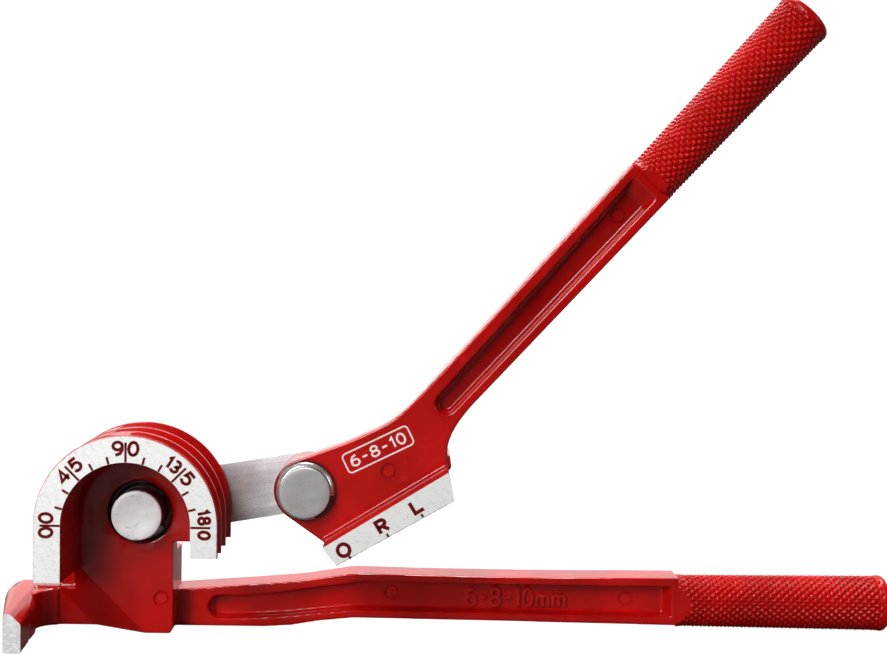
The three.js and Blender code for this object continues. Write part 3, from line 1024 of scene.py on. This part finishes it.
def flat_washer(name, centre, material):
    inner, outer = SHANK_R + 0.3, WASHER_R
    front, rear = WASHER_Y
    section = [(inner + 0.08, front), (outer - 0.2, front), (outer, front + 0.2), (outer, rear - 0.05),
               (outer - 0.05, rear), (inner + 0.08, rear), (inner, rear - 0.08), (inner, front + 0.08)]
    washer = solid(hollow_turned(section, *centre), name)
    settle(washer, 35)
    return piece(washer, name + "_pressed", "link", material, [name])


# ---- Marks ----

def merged(shapes, name):
    """Overlapping strokes run together into one object."""
    obj = solid(shapes[0], name)
    for shape in shapes[1:]:
        combine(obj, shape, "UNION")
    return obj


def oval(x, z, rx, rz, start=0, end=360, steps=20):
    """Points round part of an oval, from one angle to another in degrees."""
    angles = [math.radians(start + (end - start) * k / steps) for k in range(steps + 1)]
    return [(x + rx * math.cos(a), z + rz * math.sin(a)) for a in angles]


# Each character is a few strokes in a box one unit high, centred on the origin.
STROKES = {
    "0": [oval(0, 0, 0.3, 0.5)],
    "1": [[(-0.17, 0.28), (0.05, 0.5), (0.05, -0.5)]],
    "3": [oval(-0.02, 0.25, 0.26, 0.25, 150, -80, 14) + oval(-0.02, -0.24, 0.3, 0.26, 80, -150, 14)],
    "4": [[(0.14, -0.5), (0.14, 0.5), (-0.32, -0.2), (0.34, -0.2)]],
    "5": [[(0.27, 0.5), (-0.22, 0.5), (-0.26, 0.06)] + oval(-0.02, -0.17, 0.31, 0.33, 130, -145, 16)],
    "6": [oval(0, -0.2, 0.3, 0.3), [(-0.3, -0.2), (-0.27, 0.12), (-0.1, 0.4), (0.2, 0.5)]],
    "8": [oval(0, 0.26, 0.25, 0.24), oval(0, -0.24, 0.3, 0.26)],
    "9": [oval(0, 0.2, 0.3, 0.3), [(0.3, 0.2), (0.27, -0.12), (0.1, -0.4), (-0.2, -0.5)]],
    "R": [[(-0.27, -0.5), (-0.27, 0.5), (0, 0.5)] + oval(0, 0.24, 0.28, 0.26, 90, -90, 10)
          + [(-0.27, -0.02)], [(0, -0.02), (0.3, -0.5)]],
    "L": [[(-0.24, 0.5), (-0.24, -0.5), (0.3, -0.5)]],
    "m": [[(-0.38, -0.5), (-0.38, 0.12)], oval(-0.19, -0.04, 0.19, 0.16, 180, 0, 8) + [(0, -0.5)],
          oval(0.19, -0.04, 0.19, 0.16, 180, 0, 8) + [(0.38, -0.5)]],
    "-": [[(-0.2, -0.02), (0.2, -0.02)]],
}


def stroke(points, width, y_front, y_rear):
    """A line drawn with a square-ended pen, as a closed body."""
    left, right = [], []
    last = len(points) - 1
    looped = math.dist(points[0], points[last]) < 1e-6
    for k, (x, z) in enumerate(points):
        before = points[last - 1] if looped and k == 0 else points[max(k - 1, 0)]
        after = points[1] if looped and k == last else points[min(k + 1, last)]
        into = Vector((x - before[0], z - before[1]))
        out = Vector((after[0] - x, after[1] - z))
        into = into.normalized() if into.length > 1e-9 else out.normalized()
        out = out.normalized() if out.length > 1e-9 else into
        way = (into + out).normalized()
        reach = width / 2 / max(0.5, way.dot(out))
        left.append((x - way.y * reach, z + way.x * reach))
        right.append((x + way.y * reach, z - way.x * reach))
    rings = []
    for (lx, lz), (rx, rz) in zip(left, right):
        rings.append([(lx, y_front, lz), (lx, y_rear, lz), (rx, y_rear, rz), (rx, y_front, rz)])
    if looped:
        return closed_loop(rings[:-1])
    return strip_of_rings(rings)


def lettering(text, height, pen, thick, wide=1.0, gap=0.3):
    """The strokes of characters side by side, centred on the origin and facing the front."""
    shapes = []
    at = 0
    for letter in text:
        lines = STROKES[letter]
        xs = [x for line in lines for x, z in line]
        low, high = min(xs) * height * wide, max(xs) * height * wide
        for line in lines:
            drawn = [(at - low + x * height * wide, z * (height - pen)) for x, z in line]
            shapes.append(stroke(drawn, pen, -thick / 2, thick / 2))
        at += high - low + gap * height
    shift = (at - gap * height) / 2
    return [([(x - shift, y, z) for x, y, z in points], faces) for points, faces in shapes]


def set_at(shapes, x, y, z, turn=0):
    """Marks turned in the plane of the face and put in their place."""
    c, s = math.cos(math.radians(turn)), math.sin(math.radians(turn))
    placed = []
    for points, faces in shapes:
        moved = [(x + px * c - pz * s, y + py, z + px * s + pz * c) for px, py, pz in points]
        placed.append((moved, faces))
    return placed


MARK_THICK = 0.12
NUMERAL_R = 21.1
# Tick angle, digit, degrees on from the tick, height and width.
NUMERALS = (
    (180, "0", -5.6, 4.2, 0.95),
    (180, "0", 5.0, 4.2, 0.95),
    (135, "4", 5.9, 4.1, 0.95),
    (135, "5", -6.3, 4.1, 0.95),
    (90, "9", 5.5, 4.3, 0.95),
    (90, "0", -5.6, 4.3, 0.95),
    (45, "1", 11.9, 3.9, 0.85),
    (45, "3", 5.7, 3.9, 0.8),
    (45, "5", -6.4, 4.1, 0.95),
    (0, "1", 11.8, 3.8, 0.85),
    (0, "8", 5.2, 3.8, 0.75),
    (0, "0", -5.5, 3.7, 0.85),
)


def scale_numerals(material):
    shapes = []
    for tick, digit, offset, height, wide in NUMERALS:
        angle = math.radians(tick + offset)
        glyph = lettering(digit, height, 0.84, MARK_THICK, wide)
        x, z = NUMERAL_R * math.cos(angle), NUMERAL_R * math.sin(angle)
        shapes += set_at(glyph, x, 0, z, tick + offset - 90)
    marks = merged(shapes, "scale_numerals")
    settle(marks)
    return piece(marks, "scale_numerals", "base", material)


def tick_group(material):
    """Scale ticks at equal angles on the inside edge of the ring, with every third one long."""
    tree, size = new_group("scale_ticks", {
        "Count": 13,
        "Inner radius": 17.35,
        "Short": 2.0,
        "Long": 5.3,
        "Width": 0.62,
        "Thickness": 0.12,
    })
    dots = tree.node("GeometryNodePoints", {}, {"Count": size["Count"]})
    index = tree.node("GeometryNodeInputIndex")
    third = index.math("LESS_THAN", index.math("MODULO", index, 3), 0.5)
    length = size["Short"] + (size["Long"] - size["Short"]) * third
    angle = index * (-math.pi) / (size["Count"] - 1)
    middle = size["Inner radius"] + length * 0.5
    where = tree.node("ShaderNodeCombineXYZ", {}, {
        "X": middle * angle.math("COSINE", angle) * -1,
        "Z": middle * angle.math("SINE", angle) * -1,
    })
    placed = tree.node("GeometryNodeSetPosition", {}, {"Geometry": dots, "Position": where})
    bar = tree.node("GeometryNodeMeshCube", {}, {"Size": (1, 1, 1)})
    spin = tree.node("ShaderNodeCombineXYZ", {}, {"Y": angle * -1})
    scale = tree.node("ShaderNodeCombineXYZ", {}, {
        "X": length,
        "Y": size["Thickness"],
        "Z": size["Width"],
    })
    ticks = tree.node("GeometryNodeInstanceOnPoints", {}, {
        "Points": placed,
        "Instance": bar,
        "Rotation": spin,
        "Scale": scale,
    })
    end_group(tree, ticks, material)
    return tree.group


def scale_ticks(material):
    ticks = grown("scale_ticks", tick_group(material), {})
    settle(ticks)
    return piece(ticks, "scale_ticks", "base", material)


def shoe_marks(material):
    shapes = []
    for letter, x, z, wide in (("0", 58.3, -5.4, 1.25), ("R", 68.5, 1.3, 1.0), ("L", 77.6, 6.9, 1.1)):
        glyph = lettering(letter, 4.3, 0.98, MARK_THICK, wide)
        shapes += set_at(glyph, x, 0, z, STRIP_SLOPE)
    tick = prism([(-0.36, -0.5), (0.36, -0.5), (0.26, 0.5), (-0.26, 0.5)], -0.06, 0.06)
    for x, z in ((60.0, -7.3), (70.0, -1.2), (79.2, 4.3)):
        shapes += set_at([tick], x, 0, z, STRIP_SLOPE)
    marks = merged(shapes, "shoe_marks")
    settle(marks)
    return piece(marks, "shoe_marks", "lever", material)


def size_marking(material):
    """Raised tube sizes cast in the web of the lower handle."""
    strokes = lettering("6-8-10mm", 6.0, 0.9, 1.7, 0.74, 0.23)
    marks = merged(set_at(strokes, 107.4, LOW_WEB[0], -25.9), "size_marking")
    soft = marks.modifiers.new("soft", "BEVEL")
    soft.width = 0.12
    soft.segments = 2
    soft.limit_method = "ANGLE"
    soft.angle_limit = math.radians(50)
    applied(marks)
    settle(marks)
    return piece(marks, "size_marking", "base", material)


def size_label(material):
    """A plain printed frame with the tube sizes."""
    turn = 26.5
    length, height, line, corner = 20.2, 6.0, 0.42, 1.3
    frame_line = []
    for inset in (0, line):
        outline = []
        for sx, sz, start in ((1, 1, 0), (-1, 1, 90), (-1, -1, 180), (1, -1, 270)):
            cx = sx * (length / 2 - corner)
            cz = sz * (height / 2 - corner)
            outline += arc(cx, cz, corner - inset, start, start + 90, 6)
        frame_line.append(outline)
    rings = []
    for (ox, oz), (ix, iz) in zip(*frame_line):
        rings.append([(ox, -0.05, oz), (ox, 0.05, oz), (ix, 0.05, iz), (ix, -0.05, iz)])
    at = (66.8, PLATE_FRONT, 20.1)
    sizes = lettering("6-8-10", 3.4, 0.55, 0.1, 1.05, 0.36)
    label = merged(set_at([closed_loop(rings)] + sizes, *at, turn), "size_label")
    settle(label)
    return piece(label, "size_label", "lever", material)


# ---- Studio ----

def studio():
    floor = solid(([(-4, -4, 0), (4, -4, 0), (4, 1.2, 0), (-4, 1.2, 0)], [[0, 1, 2, 3]]), "floor")
    floor.data.transform(Matrix.Translation((0, 0, -5e-5)))
    floor.data.materials.append(paper("pale_floor", 0.06, 0.98, 0.0))
    wall = solid(([(-4, 1.2, 0), (4, 1.2, 0), (4, 1.2, 3.5), (-4, 1.2, 3.5)], [[0, 1, 2, 3]]), "backdrop")
    wall.data.materials.append(paper("lit_backdrop", 0.8, 1.0, 0.75))
    world = bpy.data.worlds.new("studio")
    bpy.context.scene.world = world
    world.use_nodes = True
    tree = Tree(world.node_tree)
    tree.group.nodes.clear()
    seen = tree.node("ShaderNodeLightPath", {}, (), "Is Camera Ray")
    shade = tree.blend(seen, colour(0.05, 0.05, 0.05), colour(1, 1, 1))
    glow = tree.node("ShaderNodeBackground", {}, {"Color": shade, "Strength": 1.0})
    out = tree.group.nodes.new("ShaderNodeOutputWorld")
    tree.group.links.new(glow.output, out.inputs["Surface"])
    softbox("key", (-0.3, -0.62, 0.6), 0.4, 6.2)
    softbox("front", (-0.4, -0.8, 0.22), 0.22, 2.6)
    softbox("fill", (0.9, -0.45, 0.35), 0.35, 1.0)
    softbox("top", (0.05, 0.3, 0.85), 0.4, 10.0)


def paper(name, shade, glow, cast_light):
    """Plain paper that glows where the camera looks at it. It lights the object only by a share of that."""
    f = Finish(name)
    seen = f.node("ShaderNodeLightPath", {}, (), "Is Camera Ray")
    return f.surface({
        "Base Color": colour(shade, shade, shade),
        "Roughness": 0.7 + f.noise(0.01, 2) * 0.1,
        "Emission Color": f.blend(seen, colour(cast_light, cast_light, cast_light), colour(1, 1, 1)),
        "Emission Strength": glow,
    })


def softbox(name, place, size, power):
    data = bpy.data.lights.new(name, "AREA")
    data.shape = "SQUARE"
    data.size = size
    data.energy = power
    lamp = bpy.data.objects.new(name, data)
    lamp.location = place
    aim = Vector((0.07, -0.01, 0.06)) - Vector(place)
    lamp.rotation_euler = aim.to_track_quat("-Z", "Y").to_euler()
    bpy.context.collection.objects.link(lamp)


def camera():
    data = bpy.data.cameras.new("camera")
    data.lens = 55.24
    data.sensor_width = 36
    data.clip_start = 0.01
    data.clip_end = 50
    eye = bpy.data.objects.new("camera", data)
    right = Vector((0.9994, -0.0260, 0.0208))
    ahead = Vector((0.0272, 0.9979, -0.0596)).normalized()
    right = (right - ahead * right.dot(ahead)).normalized()
    up = right.cross(ahead)
    turn = Matrix((right, up, -ahead)).transposed()
    eye.matrix_world = Matrix.Translation((0.0740, -0.3932, 0.1114)) @ turn.to_4x4()
    bpy.context.collection.objects.link(eye)
    bpy.context.scene.camera = eye


# ---- Assembly ----

camera()
red = red_casting("red_gloss_casting", 0.75)
knurled_red = red_casting("red_knurled_casting", 0.2)
lower_casting(red)
upper_casting(red)
knurl = knurl_group(knurled_red)
lower_sizes = {"Start": 155.2, "Length": 60.3, "Near radius": 7.65, "Far radius": 8.15}
lower_place = Matrix.Translation(LOW_AXIS)
grip("lower_grip", "base", knurl, knurled_red, lower_sizes, (154.6, 0.5, -5.2, 5.2), lower_place, "lower_handle")
upper_sizes = {"Start": 81.5, "Length": 61.2, "Near radius": 7.25, "Far radius": 8.05}
upper_place = Matrix.Translation((HANDLE_FOOT[0], UP_GRIP_Y, HANDLE_FOOT[1]))
upper_place = upper_place @ Matrix.Rotation(math.radians(-HANDLE_ANGLE), 4, "Y")
grip("upper_grip", "lever", knurl, knurled_red, upper_sizes, (79.6, 0.42, -5, 5), upper_place, "upper_handle")

link_strap(brushed_strap())
# Both pins are one turned steel: the former pin's copy is painted light and the shoe pin's copy painted darker as
# shade.
lit_pin_steel = turned_steel("bright_turned_pin", (0, 0), FORMER_FACE, colour(0.98, 0.97, 0.95), colour(0.84, 0.83, 0.81))
shaded_pin_steel = turned_steel("satin_turned_pin", SHOE_PIN, SHOE_FACE, colour(0.47, 0.455, 0.45), colour(0.37, 0.36, 0.355))
pivot_pin("former_pin", (0, 0), FORMER_FACE, FORMER_RING, lit_pin_steel)
pivot_pin("shoe_pin", SHOE_PIN, SHOE_FACE, SHOE_RING, shaded_pin_steel)
spring = spring_steel()
split_ring("former_pin_ring", (0, 0), FORMER_RING, FORMER_GAP, spring)
split_ring("shoe_pin_ring", SHOE_PIN, SHOE_RING, SHOE_GAP, clean_steel())
zinc = washer_zinc()
flat_washer("former_washer", (0, 0), zinc)
flat_washer("shoe_washer", SHOE_PIN, zinc)

stamped = ink("stamped_red", colour(0.10, 0.002, 0.003), colour(0.20, 0.005, 0.006))
scale_numerals(stamped)
scale_ticks(stamped)
shoe_marks(stamped)
size_marking(red)
size_label(ink("white_print", colour(0.85, 0.8, 0.78), colour(0.75, 0.6, 0.58)))

studio()
bpy.context.scene.view_settings.view_transform = "Standard"
